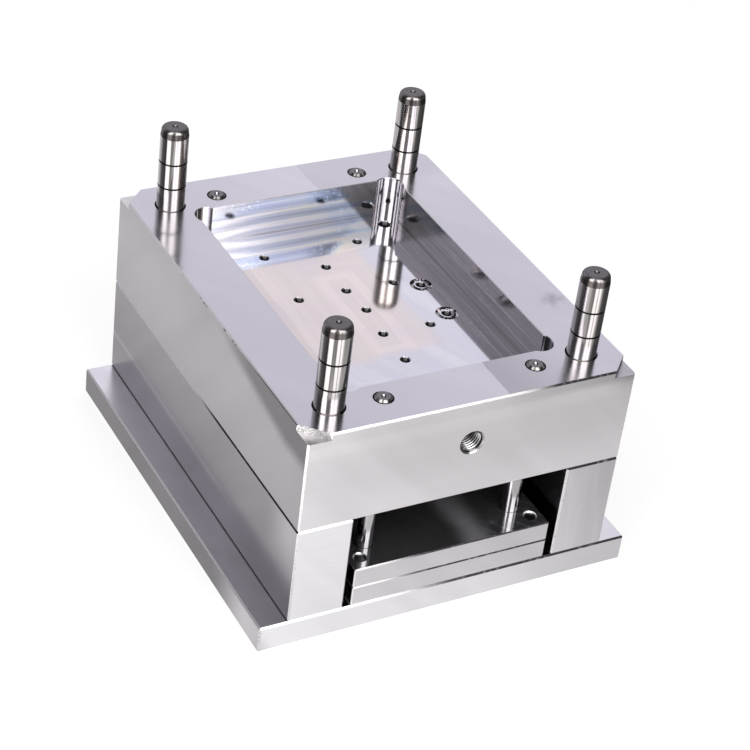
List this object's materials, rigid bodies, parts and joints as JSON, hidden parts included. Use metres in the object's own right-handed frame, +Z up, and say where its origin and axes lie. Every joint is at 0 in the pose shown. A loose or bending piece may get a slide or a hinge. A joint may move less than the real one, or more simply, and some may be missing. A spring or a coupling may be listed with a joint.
{
  "type": "injection mould half",
  "caption": "Steel injection mould half: drilled pocket plate with guide pins and return pins, on spacer blocks and a clamp plate, with a sliding ejector plate set between them.",
  "frame": {"origin": "centre of the clamp plate's underside", "axes": "+Z up through the stack to the parting face, +Y along the long side towards the back eyebolt hole, +X towards the face with the hose ports"},
  "size_m": [0.28, 0.306, 0.231],
  "materials": {
    "core_steel": "ground on the outer faces, milled in the pocket",
    "spacer_steel": "ground",
    "clamp_steel": "ground, worn edges",
    "ejector_steel": "fine ground, near mirror on top",
    "guide_steel": "hardened, ground and oiled",
    "return_steel": "hardened and polished",
    "screw_steel": "black oxide"
  },
  "bodies": {
    "base": {"core_plate": "core_steel", "spacer_block_left": "spacer_steel", "spacer_block_right": "spacer_steel", "clamp_plate": "clamp_steel", "guide_pin_fl": "guide_steel", "guide_pin_fr": "guide_steel", "guide_pin_bl": "guide_steel", "guide_pin_br": "guide_steel", "frame_screw_fl": "screw_steel", "frame_screw_fr": "screw_steel", "frame_screw_bl": "screw_steel", "frame_screw_br": "screw_steel", "spacer_screw_fl": "screw_steel", "spacer_screw_fr": "screw_steel", "spacer_screw_bl": "screw_steel", "spacer_screw_br": "screw_steel"},
    "ejector_set": {"ejector_plate": "ejector_steel", "retainer_plate": "ejector_steel", "return_pin_fl": "return_steel", "return_pin_fr": "return_steel", "return_pin_bl": "return_steel", "return_pin_br": "return_steel", "ejector_screw_fl": "screw_steel", "ejector_screw_fr": "screw_steel", "ejector_screw_bl": "screw_steel", "ejector_screw_br": "screw_steel"}
  },
  "joints": [
    {"name": "ejector_stroke", "type": "slide", "parent": "base", "child": "ejector_set", "axis": [0, 0, 1], "range_m": [0, 0.0435]}
  ]
}
